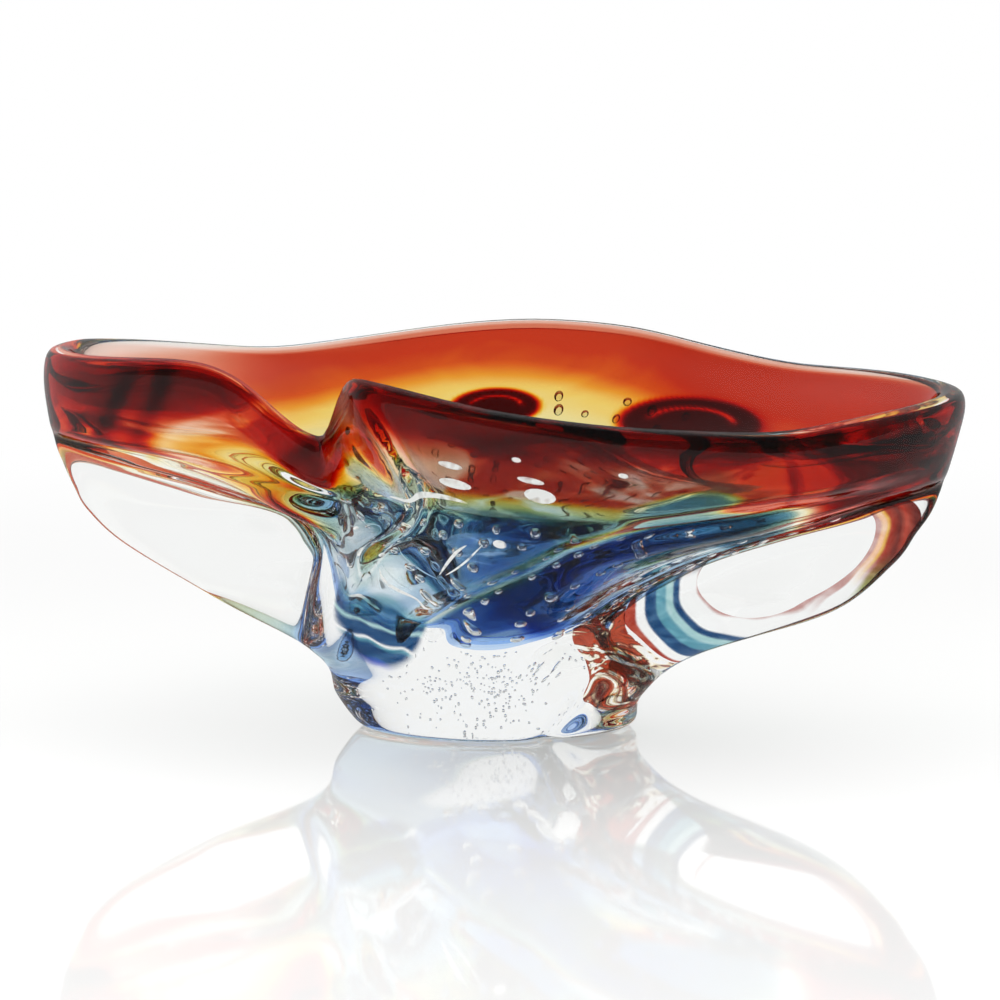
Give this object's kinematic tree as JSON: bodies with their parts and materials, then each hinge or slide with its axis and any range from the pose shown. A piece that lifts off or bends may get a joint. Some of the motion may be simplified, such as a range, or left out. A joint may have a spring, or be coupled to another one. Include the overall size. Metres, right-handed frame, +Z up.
{
  "type": "art glass bowl",
  "caption": "Hand-shaped cased glass bowl with a heavy clear foot and fins, a folded front rim and layered red, amber, green and blue glass.",
  "frame": {"origin": "middle of the flat underside of the foot", "axes": "+X to the right along the long side of the bowl, +Y away from the folded front, +Z up"},
  "size_m": [0.3253, 0.2185, 0.1362],
  "materials": {
    "clear_glass": "polished",
    "lining_glass": "polished",
    "ruby_glass": "polished",
    "orange_glass": "polished",
    "amber_glass": "polished",
    "green_glass": "polished",
    "teal_glass": "polished",
    "cobalt_glass": "polished"
  },
  "bodies": {
    "root": {"clear_casing": "clear_glass", "inner_lining": "lining_glass", "ruby_band": "ruby_glass", "orange_band": "orange_glass", "amber_band": "amber_glass", "green_band": "green_glass", "teal_band": "teal_glass", "cobalt_cup": "cobalt_glass"}
  },
  "joints": []
}
